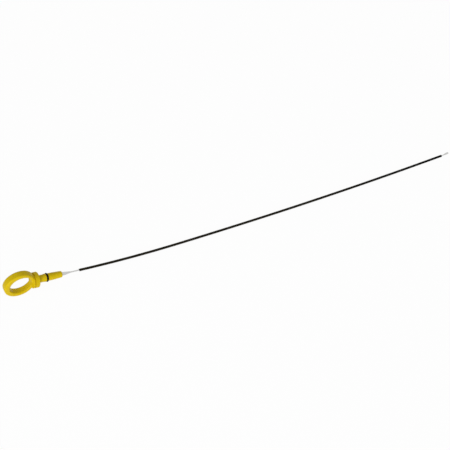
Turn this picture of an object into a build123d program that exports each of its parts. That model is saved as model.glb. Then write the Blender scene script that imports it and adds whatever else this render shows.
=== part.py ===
from build123d import *
import math
import os

# Oil dipstick, lying as it comes to rest: the finger ring stands on its tread, the stem slopes down from
# it along +X, and the wound rod bends level and lies on the ground with a slight bow towards +Y.
# Millimetres. The origin is the centre of the finger ring's bore, and the bore's axis is Y.

# Finger ring
RING_OUTER_R = 19.15
RING_BORE_R = 13.6
RING_OFFSET = 1.5           # the outside's centre from the bore's, away from the stem
RING_WIDTH = 9.2
RING_EDGE_R = 1.95
RING_EDGE_SHARE = 0.49      # most of the ring's thinnest wall that one edge's rounding may take

# Grooved collar that covers the mouth of the guide tube
COLLAR_R = 9.6
COLLAR_LENGTH = 8.75
COLLAR_ROOT = 0.05          # from the ring's bore to the collar's near face
COLLAR_EDGE_R = 0.8
SHOULDER_R = 5.0            # the near face is a cone from here out to the rib
SHOULDER_LENGTH = 1.3
SHOULDER_EDGE_R = 0.4
RIB_LENGTH = 0.8            # the rib between the shoulder and the collar's groove
RIB_GROOVE_WIDTH = 1.5
RIB_GROOVE_DEPTH = 1.4
RIB_GROOVE_EDGE_R = 0.25

# Neck, seal groove and stub
NECK_R = 4.6
NECK_LENGTH = 8.15
LIP_HEIGHT = 0.4            # above the neck
LIP_LENGTH = 2.3
LIP_EDGE_R = 0.3
SEAL_DEPTH = 1.15           # from the land to the groove's floor
SEAL_SECTION = 2.1
SEAL_SIDE_CLEARANCE = 0.25
LAND_R = 4.6
LAND_LENGTH = 6.1
TAPER_LENGTH = 12.4
STUB_END_R = 3.9
STUB_EDGE_R = 1.3

# Core wire: flat tang at the top, flattened tip at the bottom
CORE_D = 1.6
TANG_WIDTH = 5.0
TANG_THICKNESS = 0.5
TANG_EMBED = 16.0
TANG_SHOWING = 2.6
TANG_TAPER = 10.0
ANCHOR_HOLE_D = 2.4
ANCHOR_HOLE_INSET = 5.0     # from the tang's buried end to the hole's centre
TIP_WIRE_LENGTH = 4.5
TIP_LIFT = 9.0              # degrees that the bare wire turns up before the tip
TIP_TAPER = 2.5
TIP_FLAT_LENGTH = 5.0
TIP_WIDTH = 2.6
TIP_THICKNESS = 0.75

# Wound sheath and the way it lies
SHEATH_D = 3.3
SHEATH_CLEARANCE = 0.05
SHEATH_EDGE_R = 0.3
BARE_WIRE_LENGTH = 10.5     # round wire showing between the tang and the sheath
BEND_RADIUS = 1155.0
BOW_RADIUS = 7400.0
BOW_RUN = 410.0
END_RUN = 24.0              # straight end of the sheath, past the bow

# Stations along the stem, from the bore's centre
collar_at = RING_BORE_R + COLLAR_ROOT
rib_at = collar_at + SHOULDER_LENGTH
rib_end = rib_at + RIB_LENGTH
rib_groove_end = rib_end + RIB_GROOVE_WIDTH
seat_at = collar_at + COLLAR_LENGTH
lip_at = seat_at + NECK_LENGTH
seal_at = lip_at + LIP_LENGTH
seal_end = seal_at + SEAL_SECTION + 2 * SEAL_SIDE_CLEARANCE
land_end = seal_end + LAND_LENGTH
stub_end = land_end + TAPER_LENGTH
tang_at = stub_end - TANG_EMBED
taper_at = stub_end + TANG_SHOWING
shank_end = taper_at + TANG_TAPER

# Radii that follow from others
lip_r = NECK_R + LIP_HEIGHT
seal_floor_r = LAND_R - SEAL_DEPTH
rib_groove_r = COLLAR_R - RIB_GROOVE_DEPTH
ring_wall = RING_OUTER_R - RING_OFFSET - RING_BORE_R
ring_edge_r = min(RING_EDGE_R, RING_EDGE_SHARE * ring_wall)

# Slope of the stem: straight to shank_end, then one bend that ends level, with the sheath on the ground
stand = RING_OUTER_R - SHEATH_D / 2
run = shank_end + RING_OFFSET
tilt = math.atan2(BEND_RADIUS, run)
slope = tilt - math.asin((BEND_RADIUS - stand) / math.hypot(run, BEND_RADIUS))
drop = stand - RING_OFFSET * math.sin(slope)
stem = Rot(0, math.degrees(slope), 0)

# Where the bend meets the ground, and where the bow ends in a straight
touch = Vector(shank_end * math.cos(slope) + BEND_RADIUS * math.sin(slope), 0, -drop)
bend_axis = Axis((touch.X, 0, touch.Z + BEND_RADIUS), (0, -1, 0))
bow_axis = Axis((touch.X, BOW_RADIUS, touch.Z), (0, 0, 1))
bow_turn = BOW_RUN / BOW_RADIUS
bow_end = touch + Vector(BOW_RADIUS * math.sin(bow_turn), BOW_RADIUS * (1 - math.cos(bow_turn)), 0)
straight_end = Pos(bow_end) * Rot(0, 0, math.degrees(bow_turn))
sheath_mouth = straight_end * Pos(END_RUN, 0, 0)
touch_plane = Plane(origin=touch, z_dir=(1, 0, 0))


def rod(section, bend_angle, end_length):
    """A section run down the bend from an angle above the ground, along the bow and on straight."""
    at_touch = touch_plane * section
    bend = revolve(at_touch, axis=bend_axis, revolution_arc=-math.degrees(bend_angle))
    bow = revolve(at_touch, axis=bow_axis, revolution_arc=math.degrees(bow_turn))
    end = straight_end * extrude(Plane.YZ * section, end_length)
    return bend + bow + end


def flat_to_round(width, thickness, length):
    """The change from a flat section at x = 0 to the round wire at x = length."""
    flat = Plane.YZ * Rectangle(width, thickness)
    quarters = [CenterArc((0, 0), CORE_D / 2, start, 90) for start in (-45, 45, 135, 225)]
    wire_end = Plane.YZ.offset(length) * make_face(quarters)
    return loft([flat, wire_end], ruled=True)


def make_tang():
    """Flat top end of the wire with its anchor hole, in the stem's own frame."""
    blade = Pos((tang_at + taper_at) / 2, 0, 0) * Box(taper_at - tang_at, TANG_WIDTH, TANG_THICKNESS)
    hole = Pos(tang_at + ANCHOR_HOLE_INSET, 0, 0) * Cylinder(ANCHOR_HOLE_D / 2, 2 * TANG_THICKNESS)
    neck = Pos(taper_at, 0, 0) * flat_to_round(TANG_WIDTH, TANG_THICKNESS, TANG_TAPER)
    return blade - hole + neck


def make_tip():
    """Flattened lower end of the wire, from x = 0 on, with a round end."""
    neck = Pos(TIP_TAPER, 0, 0) * Rot(0, 0, 180) * flat_to_round(TIP_WIDTH, TIP_THICKNESS, TIP_TAPER)
    straight = TIP_FLAT_LENGTH - TIP_WIDTH / 2
    blade = Pos(TIP_TAPER + straight / 2, 0, 0) * Box(straight, TIP_WIDTH, TIP_THICKNESS)
    nose = Pos(TIP_TAPER + straight, 0, 0) * Cylinder(TIP_WIDTH / 2, TIP_THICKNESS)
    return neck + blade + nose


def make_handle():
    """Finger ring and turned stem as one moulding, with the tang's slot in it."""
    plan = Pos(-RING_OFFSET, 0) * Circle(RING_OUTER_R) - Circle(RING_BORE_R)
    band = extrude(Plane.XZ * plan, RING_WIDTH / 2, both=True)
    ring = fillet(band.edges().filter_by(GeomType.CIRCLE), ring_edge_r)
    outline = Polyline(
        (collar_at, 0),
        (collar_at, SHOULDER_R),
        (rib_at, COLLAR_R),
        (rib_end, COLLAR_R),
        (rib_end, rib_groove_r),
        (rib_groove_end, rib_groove_r),
        (rib_groove_end, COLLAR_R),
        (seat_at, COLLAR_R),
        (seat_at, NECK_R),
        (lip_at, NECK_R),
        (lip_at, lip_r),
        (seal_at, lip_r),
        (seal_at, seal_floor_r),
        (seal_end, seal_floor_r),
        (seal_end, LAND_R),
        (land_end, LAND_R),
        (stub_end, STUB_END_R),
        (stub_end, 0),
        close=True,
    )
    half = make_face(outline)
    rounded = (
        (SHOULDER_EDGE_R, ((rib_at, COLLAR_R),)),
        (COLLAR_EDGE_R, ((seat_at, COLLAR_R),)),
        (RIB_GROOVE_EDGE_R, ((rib_end, COLLAR_R), (rib_groove_end, COLLAR_R))),
        (LIP_EDGE_R, ((lip_at, lip_r), (seal_at, lip_r))),
        (STUB_EDGE_R, ((stub_end, STUB_END_R),)),
    )
    for radius, corners in rounded:
        for corner in corners:
            half = fillet(half.vertices().sort_by_distance(corner + (0,))[0], radius)
    turned = revolve(half, axis=Axis.X)
    return stem * (ring + turned - make_tang())


def make_o_ring():
    """Rubber ring that sits on the floor of the seal groove."""
    section = Pos((seal_at + seal_end) / 2, seal_floor_r + SEAL_SECTION / 2) * Circle(SEAL_SECTION / 2)
    return stem * revolve(section, axis=Axis.X)


def make_core_wire():
    """Tang, round wire through the sheath, and tip, as one piece."""
    section = Circle(CORE_D / 2)
    lift_r = TIP_WIRE_LENGTH / math.radians(TIP_LIFT)
    lift_axis = Axis((0, 0, lift_r), (0, -1, 0))
    lift = revolve(Plane.YZ * section, axis=lift_axis, revolution_arc=TIP_LIFT)
    tip = Pos(0, 0, lift_r) * Rot(0, -TIP_LIFT, 0) * Pos(0, 0, -lift_r) * make_tip()
    return stem * make_tang() + rod(section, slope, END_RUN) + sheath_mouth * lift + sheath_mouth * tip


def make_wound_sheath():
    """Closely wound wire, as a tube with its windings' outer and inner size."""
    bore_r = CORE_D / 2 + SHEATH_CLEARANCE
    bend_angle = slope - BARE_WIRE_LENGTH / BEND_RADIUS
    tube = rod(Circle(SHEATH_D / 2) - Circle(bore_r), bend_angle, END_RUN)
    rims = tube.edges().filter_by(GeomType.CIRCLE).filter_by(lambda e: abs(e.radius - SHEATH_D / 2) < 1e-6)
    ends = rims.sort_by(Axis.X)
    return fillet([ends[0], ends[-1]], SHEATH_EDGE_R)


PIECES = {
    "handle": make_handle,
    "o_ring": make_o_ring,
    "core_wire": make_core_wire,
    "wound_sheath": make_wound_sheath,
}

os.makedirs("parts", exist_ok=True)
for node, make in PIECES.items():
    export_step(make(), f"parts/{node}.step")
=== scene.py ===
import math

import bmesh
import bpy
from mathutils import Matrix, Vector


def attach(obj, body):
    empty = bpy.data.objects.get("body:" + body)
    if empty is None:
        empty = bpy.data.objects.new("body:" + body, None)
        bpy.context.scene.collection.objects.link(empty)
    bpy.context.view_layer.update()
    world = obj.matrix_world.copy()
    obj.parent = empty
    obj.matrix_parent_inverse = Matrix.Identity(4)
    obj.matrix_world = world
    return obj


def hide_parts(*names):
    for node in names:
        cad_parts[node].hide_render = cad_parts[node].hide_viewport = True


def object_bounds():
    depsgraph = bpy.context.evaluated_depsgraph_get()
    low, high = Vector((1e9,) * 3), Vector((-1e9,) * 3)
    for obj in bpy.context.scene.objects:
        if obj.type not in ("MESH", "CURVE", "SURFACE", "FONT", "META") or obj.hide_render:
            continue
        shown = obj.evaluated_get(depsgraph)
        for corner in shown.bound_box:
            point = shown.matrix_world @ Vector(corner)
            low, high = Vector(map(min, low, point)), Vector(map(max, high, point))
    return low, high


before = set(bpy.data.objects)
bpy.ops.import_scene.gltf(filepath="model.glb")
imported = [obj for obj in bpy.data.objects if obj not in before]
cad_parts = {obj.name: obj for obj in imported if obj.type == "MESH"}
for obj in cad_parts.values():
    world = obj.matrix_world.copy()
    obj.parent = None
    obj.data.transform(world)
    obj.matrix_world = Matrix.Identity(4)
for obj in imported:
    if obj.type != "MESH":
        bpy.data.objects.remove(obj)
cad_low, cad_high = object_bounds()
cad_middle = (cad_low + cad_high) / 2

# Lengths are in metres, and colours are linear with their alpha
MM = 0.001
WHITE = (1, 1, 1, 1)

# The rod's way, as in the part's source: straight stem, a bend down to the ground, a bow and a straight end
RING_OUTER_R = 19.15 * MM
RING_OFFSET = 1.5 * MM
SHANK_END = 66.55 * MM
BARE_WIRE_LENGTH = 10.5 * MM
BEND_RADIUS = 1155.0 * MM
BOW_RADIUS = 7400.0 * MM
BOW_RUN = 410.0 * MM
END_RUN = 24.0 * MM
TIP_LIFT = math.radians(9.0)

# Windings
SHEATH_R = 1.65 * MM
SHEATH_BORE_R = 0.85 * MM
WIRE_GAP = 0.02 * MM
WIRE_SIDES = 8
STEPS_PER_TURN = 16
MERGE_SHARE = 0.01          # of the pitch, within which one turn's end joins the next

# Middle of the o-ring along the stem
SEAL_STATION = 34.15 * MM

# Yellow plastic
YELLOW_DEEP = (0.60, 0.425, 0.0, 1)
YELLOW_PALE = (0.66, 0.475, 0.002, 1)
YELLOW_ROUGHNESS = (0.36, 0.46)
YELLOW_SPECULAR = 0.12
YELLOW_GRAIN_HEIGHT = 0.07 * MM
PARTING_COLOUR = (0.50, 0.35, 0.0, 1)
PARTING_SHARE = 0.25        # of the parting line's own colour
PARTING_CORE = 0.06 * MM
PARTING_EDGE = 0.16 * MM
PARTING_HEIGHT = 0.05 * MM

# Black rubber
RUBBER_BLACK = (0.002, 0.002, 0.002, 1)
RUBBER_WORN = (0.006, 0.0055, 0.005, 1)
RUBBER_ROUGHNESS = (0.5, 0.66)
RUBBER_SPECULAR = 0.08
RUBBER_GRAIN_HEIGHT = 0.03 * MM
FLASH_CORE = 0.04 * MM
FLASH_EDGE = 0.1 * MM
FLASH_HEIGHT = 0.05 * MM

# Bright steel
STEEL_DULL = (0.47, 0.47, 0.46, 1)
STEEL_BRIGHT = (0.68, 0.68, 0.67, 1)
STEEL_STAIN = (0.46, 0.44, 0.40, 1)
STEEL_STAIN_SHARE = 0.2
STEEL_ROUGHNESS = (0.24, 0.42)

# Dark wire
WIRE_BROWN = (0.017, 0.0135, 0.006, 1)
WIRE_BLACK = (0.0015, 0.0015, 0.0015, 1)
# Painted shade: the wire is painted blacker between these two places, standing in for the light falling off
# towards the far end
BLACKER_FROM = 360.0 * MM
BLACKER_TO = 620.0 * MM
WIRE_OILED = (0.004, 0.0035, 0.002, 1)
WIRE_OILED_SHARE = 0.6
# Painted sheen: the windings' outer crests are painted lighter, standing in for the highlights that fall on
# them
WIRE_CREST_SHEEN = (0.03, 0.026, 0.017, 1)
WIRE_CREST_SHEEN_SHARE = 0.3
CREST_SHEEN_FROM = 0.7           # of the way from the windings' inside to their outside
WIRE_ROUGHNESS = (0.52, 0.4)
WIRE_SPECULAR = 0.06

# Relief that two finishes share
GRAIN_STRENGTH = 0.6
LINE_HEIGHT = 0.01 * MM

# Camera, from the ring's outline and the rod's line in the photograph
VIEW_TURN = math.radians(-39.135)
VIEW_HEIGHT = math.radians(49.325)
VIEW_ROLL = math.radians(14.835)
RING_IN_VIEW = Vector((-0.243751, -0.068537, -1.372968))    # the bore's centre in the camera's own frame
FOCAL_PIXELS = 1157.94
FRAME_PIXELS = 450
HALF_PIXEL = 0.5 / FRAME_PIXELS
SENSOR = 36.0
CLIP_START = 0.01

# Floor and light
FLOOR_HALF = 4.0
FLOOR_PAINT = (0.92, 0.92, 0.92, 1)
FLOOR_SEEN_WHITE = 0.96     # share of plain white in what the camera sees of the floor
FLOOR_GLOW = 0.15           # share of it in the floor's light on the part
SKY = 0.56
KEY_FROM = Vector((-0.7, -0.7, 0.17))
KEY_DISTANCE = 2.2
KEY_SIZE = 1.1
KEY_POWER = 30.0

# Places along the rod's way that follow from its sizes
stand = RING_OUTER_R - SHEATH_R
run = SHANK_END + RING_OFFSET
slope = math.atan2(BEND_RADIUS, run) - math.asin((BEND_RADIUS - stand) / math.hypot(run, BEND_RADIUS))
drop = stand - RING_OFFSET * math.sin(slope)
bend_run = BEND_RADIUS * slope
bow_turn = BOW_RUN / BOW_RADIUS
touch_x = SHANK_END * math.cos(slope) + BEND_RADIUS * math.sin(slope)
stem = Matrix.Rotation(slope, 4, "Y")
bend_centre = Matrix.Translation((touch_x, 0, BEND_RADIUS - drop))
bow_centre = Matrix.Translation((touch_x, BOW_RADIUS, -drop))

# The wound wire's own thickness, and the radius it is wound at
wire_d = SHEATH_R - SHEATH_BORE_R
wire_r = wire_d / 2
coil_r = (SHEATH_R + SHEATH_BORE_R) / 2


def rod_frame(distance):
    """Where the rod is at a distance from the bore's centre, with x on along the rod."""
    if distance <= SHANK_END:
        return stem @ Matrix.Translation((distance, 0, 0))
    past = distance - SHANK_END
    if past <= bend_run:
        turn = Matrix.Rotation(slope - past / BEND_RADIUS, 4, "Y")
        return bend_centre @ turn @ Matrix.Translation((0, 0, -BEND_RADIUS))
    past -= bend_run
    turn = Matrix.Rotation(min(past, BOW_RUN) / BOW_RADIUS, 4, "Z")
    end = max(past - BOW_RUN, 0)
    return bow_centre @ turn @ Matrix.Translation((end, -BOW_RADIUS, 0))


def finish_piece(name, bm, material):
    """A mesh object from a bmesh, smooth, with its material."""
    mesh = bpy.data.meshes.new(name)
    bm.to_mesh(mesh)
    bm.free()
    mesh.shade_smooth()
    mesh.materials.append(material)
    piece = bpy.data.objects.new(name, mesh)
    bpy.context.scene.collection.objects.link(piece)
    return piece


def one_winding(pitch):
    """One open turn of the wire about x, with how near the outside each point is."""
    bm = bmesh.new()
    crest = bm.verts.layers.float.new("crest")
    section = bmesh.ops.create_circle(bm, segments=WIRE_SIDES, radius=wire_r)["verts"]
    for v in section:
        v[crest] = (v.co.y / wire_r + 1) / 2
    bmesh.ops.translate(bm, verts=section, vec=(0, coil_r, 0))
    bmesh.ops.spin(
        bm,
        geom=section + bm.edges[:],
        axis=(1, 0, 0),
        cent=(0, 0, 0),
        dvec=(pitch / STEPS_PER_TURN, 0, 0),
        angle=math.tau,
        steps=STEPS_PER_TURN,
        use_merge=False,
    )
    bmesh.ops.recalc_face_normals(bm, faces=bm.faces)
    return bm


def make_windings(material):
    """The close-wound wire over the core, laid along the rod's way."""
    first = SHANK_END + BARE_WIRE_LENGTH + wire_r
    length = bend_run - BARE_WIRE_LENGTH + BOW_RUN + END_RUN
    turns = int((length - wire_d) / (wire_d + WIRE_GAP))
    pitch = (length - wire_d) / turns
    turn = finish_piece("one_winding", one_winding(pitch), material)
    rows = turn.modifiers.new("turns", "ARRAY")
    rows.count = turns
    rows.use_relative_offset = False
    rows.use_constant_offset = True
    rows.constant_offset_displace = (pitch, 0, 0)
    rows.use_merge_vertices = True
    rows.merge_threshold = pitch * MERGE_SHARE
    bm = bmesh.new()
    bm.from_object(turn, bpy.context.evaluated_depsgraph_get())
    bpy.data.objects.remove(turn)
    bmesh.ops.holes_fill(bm, edges=[e for e in bm.edges if e.is_boundary], sides=WIRE_SIDES)
    bmesh.ops.recalc_face_normals(bm, faces=bm.faces)
    for v in bm.verts:
        v.co = rod_frame(first + v.co.x) @ Vector((0, v.co.y, v.co.z))
    return finish_piece("windings", bm, material)


def empty_tree(owner):
    """The node tree of a material or a world, with nothing in it."""
    owner.use_nodes = True
    owner.node_tree.nodes.clear()
    return owner.node_tree


def feed(tree, socket, value):
    """An input given a value, or linked to the socket that feeds it."""
    if isinstance(value, bpy.types.NodeSocket):
        tree.links.new(value, socket)
    else:
        socket.default_value = value


def add(tree, kind, inputs, **settings):
    """A shader node with its settings and its inputs."""
    made = tree.nodes.new(kind)
    for name, value in settings.items():
        setattr(made, name, value)
    for name, value in inputs.items():
        feed(tree, made.inputs[name], value)
    return made


def math_node(tree, operation, first, second=0.0, clamp=False):
    """The result of a sum on one or two values."""
    made = add(tree, "ShaderNodeMath", {0: first, 1: second}, operation=operation, use_clamp=clamp)
    return made.outputs[0]


def share(tree, amount, part):
    """A part of an amount."""
    return math_node(tree, "MULTIPLY", amount, part)


def between(tree, value, low, high, to_low=0.0, to_high=1.0):
    """A value eased from one range to another."""
    made = add(
        tree,
        "ShaderNodeMapRange",
        {"Value": value, "From Min": low, "From Max": high, "To Min": to_low, "To Max": to_high},
        interpolation_type="SMOOTHSTEP",
    )
    return made.outputs[0]


def spread(tree, amount, at_nought, at_one):
    """An amount from nought to one, eased into another range."""
    return between(tree, amount, 0.0, 1.0, at_nought, at_one)


def soft_line(tree, offset, core, edge):
    """One where an offset is within a line's core, and nought past its soft edge."""
    return between(tree, math_node(tree, "ABSOLUTE", offset), core, edge, 1.0, 0.0)


def mixed(tree, amount, first, second):
    """Two colours or two places mixed by an amount."""
    made = add(tree, "ShaderNodeMix", {}, data_type="RGBA")
    sockets = [s for s in made.inputs if s.enabled]
    for socket, value in zip(sockets, (amount, first, second)):
        feed(tree, socket, value)
    return next(s for s in made.outputs if s.enabled)


def noise(tree, place, scale, detail, roughness):
    """A noise value on a place."""
    made = add(
        tree,
        "ShaderNodeTexNoise",
        {"Vector": place, "Scale": scale, "Detail": detail, "Roughness": roughness},
    )
    return made.outputs[0]


def bump(tree, height, distance, strength=1.0, under=None):
    """A normal from a height, over another normal if there is one."""
    inputs = {"Height": height, "Distance": distance, "Strength": strength}
    if under is not None:
        inputs["Normal"] = under
    return add(tree, "ShaderNodeBump", inputs).outputs[0]


def axes(tree, place):
    """The three parts of a place."""
    return add(tree, "ShaderNodeSeparateXYZ", {0: place}).outputs


def turned(tree, place, rotation):
    """A place turned about the origin."""
    made = add(tree, "ShaderNodeMapping", {"Vector": place, "Rotation": rotation}, vector_type="POINT")
    return made.outputs[0]


def along_stem(tree, place):
    """A place turned so that x runs along the stem from the ring's centre."""
    return turned(tree, place, (0, -slope, 0))


def along_wire(tree, place):
    """A place turned so that x runs along the tang at one end of the wire and the tip at the other."""
    at_tip = turned(tree, place, (0, TIP_LIFT, -bow_turn))
    past_middle = math_node(tree, "GREATER_THAN", axes(tree, place)["X"], cad_middle.x)
    return mixed(tree, past_middle, along_stem(tree, place), at_tip)


def group_tree(name, inputs, outputs):
    """A shader group with named sockets and nothing between them."""
    tree = bpy.data.node_groups.new(name, "ShaderNodeTree")
    for label, kind, value in inputs:
        socket = tree.interface.new_socket(label, in_out="INPUT", socket_type=kind)
        if value is not None:
            socket.default_value = value
    for label, kind in outputs:
        tree.interface.new_socket(label, in_out="OUTPUT", socket_type=kind)
    return tree, tree.nodes.new("NodeGroupInput").outputs, tree.nodes.new("NodeGroupOutput").inputs


def use_group(tree, group, inputs):
    """A group placed in a material."""
    return add(tree, "ShaderNodeGroup", inputs, node_tree=group).outputs


def make_mould_grain():
    """Fine grain and slow cloudiness of a moulded surface."""
    tree, given, wanted = group_tree(
        "mould_grain",
        (
            ("Place", "NodeSocketVector", None),
            ("Grain Scale", "NodeSocketFloat", 2600.0),
            ("Cloud Scale", "NodeSocketFloat", 90.0),
        ),
        (("Height", "NodeSocketFloat"), ("Cloud", "NodeSocketFloat")),
    )
    fine = noise(tree, given["Place"], given["Grain Scale"], detail=3.0, roughness=0.6)
    cloud = noise(tree, given["Place"], given["Cloud Scale"], detail=3.0, roughness=0.55)
    tree.links.new(fine, wanted["Height"])
    tree.links.new(between(tree, cloud, low=0.3, high=0.7), wanted["Cloud"])
    return tree


def make_drawn_lines():
    """Fine lines along a drawn or rolled metal, and stains across it."""
    tree, given, wanted = group_tree(
        "drawn_lines",
        (
            ("Place", "NodeSocketVector", None),
            ("Line Scale", "NodeSocketFloat", 9000.0),
            ("Line Stretch", "NodeSocketFloat", 0.02),
            ("Stain Scale", "NodeSocketFloat", 300.0),
        ),
        (("Lines", "NodeSocketFloat"), ("Stain", "NodeSocketFloat")),
    )
    stretch = add(tree, "ShaderNodeCombineXYZ", {"X": given["Line Stretch"], "Y": 1.0, "Z": 1.0})
    drawn = add(
        tree,
        "ShaderNodeVectorMath",
        {0: given["Place"], 1: stretch.outputs[0]},
        operation="MULTIPLY",
    )
    lines = noise(tree, drawn.outputs[0], given["Line Scale"], detail=2.0, roughness=0.6)
    stain = noise(tree, given["Place"], given["Stain Scale"], detail=4.0, roughness=0.6)
    tree.links.new(between(tree, lines, low=0.25, high=0.75), wanted["Lines"])
    tree.links.new(between(tree, stain, low=0.35, high=0.7), wanted["Stain"])
    return tree


def new_material(name):
    """A material with only its shader and output, and the place it is painted by."""
    material = bpy.data.materials.new(name)
    tree = empty_tree(material)
    surface = tree.nodes.new("ShaderNodeBsdfPrincipled")
    add(tree, "ShaderNodeOutputMaterial", {"Surface": surface.outputs[0]})
    place = tree.nodes.new("ShaderNodeTexCoord").outputs["Object"]
    return material, tree, surface.inputs, place


def make_yellow_plastic(mould_grain):
    """Satin moulded plastic with a faint parting line on the handle's mid plane."""
    material, tree, surface, place = new_material("yellow_plastic")
    grain = use_group(tree, mould_grain, {"Place": place, "Grain Scale": 2400.0, "Cloud Scale": 110.0})
    plain = mixed(tree, grain["Cloud"], YELLOW_DEEP, YELLOW_PALE)
    parting = soft_line(tree, axes(tree, place)["Y"], PARTING_CORE, PARTING_EDGE)
    colour = mixed(tree, share(tree, parting, PARTING_SHARE), plain, PARTING_COLOUR)
    grained = bump(tree, grain["Height"], YELLOW_GRAIN_HEIGHT, GRAIN_STRENGTH)
    tree.links.new(colour, surface["Base Color"])
    tree.links.new(spread(tree, grain["Cloud"], *YELLOW_ROUGHNESS), surface["Roughness"])
    tree.links.new(bump(tree, parting, PARTING_HEIGHT, under=grained), surface["Normal"])
    surface["Specular IOR Level"].default_value = YELLOW_SPECULAR
    return material


def make_black_rubber(mould_grain):
    """Matt rubber with the mould's flash line round the middle."""
    material, tree, surface, place = new_material("black_rubber")
    grain = use_group(tree, mould_grain, {"Place": place, "Grain Scale": 5200.0, "Cloud Scale": 420.0})
    colour = mixed(tree, grain["Cloud"], RUBBER_BLACK, RUBBER_WORN)
    station = axes(tree, along_stem(tree, place))["X"]
    off_middle = math_node(tree, "SUBTRACT", station, SEAL_STATION)
    flash = soft_line(tree, off_middle, FLASH_CORE, FLASH_EDGE)
    grained = bump(tree, grain["Height"], RUBBER_GRAIN_HEIGHT, GRAIN_STRENGTH)
    tree.links.new(colour, surface["Base Color"])
    tree.links.new(spread(tree, grain["Cloud"], *RUBBER_ROUGHNESS), surface["Roughness"])
    tree.links.new(bump(tree, flash, FLASH_HEIGHT, under=grained), surface["Normal"])
    surface["Specular IOR Level"].default_value = RUBBER_SPECULAR
    return material


def make_bright_steel(drawn_lines):
    """Rolled and drawn steel with lines along it and a faint oil stain."""
    material, tree, surface, place = new_material("bright_steel")
    steel = use_group(tree, drawn_lines, {"Place": along_wire(tree, place), "Stain Scale": 420.0})
    clean = mixed(tree, steel["Lines"], STEEL_DULL, STEEL_BRIGHT)
    colour = mixed(tree, share(tree, steel["Stain"], STEEL_STAIN_SHARE), clean, STEEL_STAIN)
    tree.links.new(colour, surface["Base Color"])
    tree.links.new(spread(tree, steel["Lines"], *STEEL_ROUGHNESS), surface["Roughness"])
    tree.links.new(bump(tree, steel["Lines"], LINE_HEIGHT, strength=0.5), surface["Normal"])
    surface["Metallic"].default_value = 1.0
    return material


def make_dark_wire(drawn_lines):
    """Dark wire with oil stains, brown-black near the handle and painted blacker towards the far end as
    shade, with a painted sheen on its crests.
    """
    material, tree, surface, place = new_material("dark_wire")
    wire = use_group(
        tree,
        drawn_lines,
        {"Place": place, "Line Stretch": 1.0, "Line Scale": 2600.0, "Stain Scale": 160.0},
    )
    # Painted shade: darker towards the far end of the rod
    far_shade = between(tree, axes(tree, place)["X"], BLACKER_FROM, BLACKER_TO)
    plain = mixed(tree, far_shade, WIRE_BROWN, WIRE_BLACK)
    stained = mixed(tree, share(tree, wire["Stain"], WIRE_OILED_SHARE), plain, WIRE_OILED)
    crest = add(tree, "ShaderNodeAttribute", {}, attribute_name="crest").outputs["Fac"]
    # Painted sheen: a lighter colour on the outer crest of each turn, as a highlight
    crest_sheen = math_node(tree, "MULTIPLY", between(tree, crest, CREST_SHEEN_FROM, 1.0), wire["Lines"])
    with_crest_sheen = mixed(tree, share(tree, crest_sheen, WIRE_CREST_SHEEN_SHARE), stained, WIRE_CREST_SHEEN)
    tree.links.new(with_crest_sheen, surface["Base Color"])
    tree.links.new(spread(tree, wire["Stain"], *WIRE_ROUGHNESS), surface["Roughness"])
    tree.links.new(bump(tree, wire["Lines"], LINE_HEIGHT, strength=0.4), surface["Normal"])
    surface["Specular IOR Level"].default_value = WIRE_SPECULAR
    return material


def dress(node, material):
    """A CAD node with a better material."""
    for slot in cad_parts[node].material_slots:
        slot.material = material


def seen_or_mirrored(tree):
    """One for what the camera sees, straight or mirrored, and nought for the light on the part."""
    path = tree.nodes.new("ShaderNodeLightPath").outputs
    mirrored = math_node(tree, "ADD", path["Is Glossy Ray"], path["Is Transmission Ray"])
    return math_node(tree, "ADD", path["Is Camera Ray"], mirrored, clamp=True)


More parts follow.
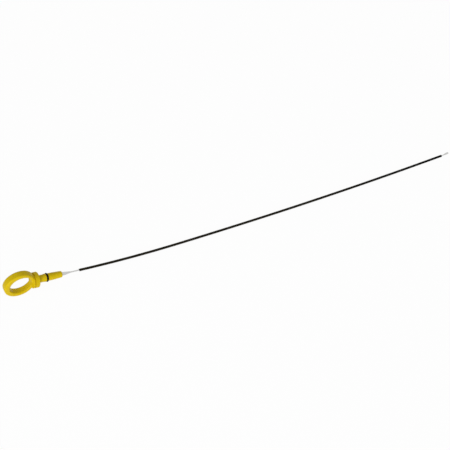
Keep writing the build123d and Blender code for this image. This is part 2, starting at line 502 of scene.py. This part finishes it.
def make_floor():
    """A pale floor under the part that takes a soft shadow."""
    bm = bmesh.new()
    bmesh.ops.create_grid(bm, x_segments=1, y_segments=1, size=FLOOR_HALF)
    bmesh.ops.translate(bm, verts=bm.verts, vec=(cad_middle.x, 0, cad_low.z))
    material = bpy.data.materials.new("pale_floor")
    tree = empty_tree(material)
    paint = add(tree, "ShaderNodeBsdfDiffuse", {"Color": FLOOR_PAINT})
    glow = add(tree, "ShaderNodeEmission", {"Color": WHITE, "Strength": 1.0})
    amount = spread(tree, seen_or_mirrored(tree), FLOOR_GLOW, FLOOR_SEEN_WHITE)
    blend = add(tree, "ShaderNodeMixShader", {0: amount, 1: paint.outputs[0], 2: glow.outputs[0]})
    add(tree, "ShaderNodeOutputMaterial", {"Surface": blend.outputs[0]})
    floor = finish_piece("floor", bm, material)


def make_light():
    """An even white sky and one large soft lamp, low down on the camera's side."""
    world = bpy.data.worlds.new("white_room")
    bpy.context.scene.world = world
    tree = empty_tree(world)
    strength = spread(tree, seen_or_mirrored(tree), SKY, 1.0)
    sky = add(tree, "ShaderNodeBackground", {"Color": WHITE, "Strength": strength})
    add(tree, "ShaderNodeOutputWorld", {"Surface": sky.outputs[0]})
    lamp = bpy.data.lights.new("key", "AREA")
    lamp.size = KEY_SIZE
    lamp.energy = KEY_POWER
    key = bpy.data.objects.new("key", lamp)
    towards = KEY_FROM.normalized()
    key.location = cad_middle + towards * KEY_DISTANCE
    key.rotation_euler = towards.to_track_quat("Z", "Y").to_euler()
    bpy.context.scene.collection.objects.link(key)


def make_camera():
    """The photograph's view."""
    lens = bpy.data.cameras.new("camera")
    lens.sensor_width = SENSOR
    lens.lens = FOCAL_PIXELS * SENSOR / FRAME_PIXELS
    lens.shift_x = -HALF_PIXEL
    lens.shift_y = HALF_PIXEL
    lens.clip_start = CLIP_START
    camera = bpy.data.objects.new("camera", lens)
    turn = Matrix.Rotation(VIEW_TURN, 4, "Z")
    tilt = Matrix.Rotation(math.pi / 2 - VIEW_HEIGHT, 4, "X")
    roll = Matrix.Rotation(VIEW_ROLL, 4, "Z")
    camera.matrix_world = turn @ tilt @ roll @ Matrix.Translation(-RING_IN_VIEW)
    bpy.context.scene.collection.objects.link(camera)
    bpy.context.scene.camera = camera


grain_group = make_mould_grain()
lines_group = make_drawn_lines()
dress("handle", make_yellow_plastic(grain_group))
dress("o_ring", make_black_rubber(grain_group))
dress("core_wire", make_bright_steel(lines_group))

windings = make_windings(make_dark_wire(lines_group))
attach(windings, "root")
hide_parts("wound_sheath")

make_floor()
make_light()
make_camera()
bpy.context.scene.view_settings.view_transform = "Standard"
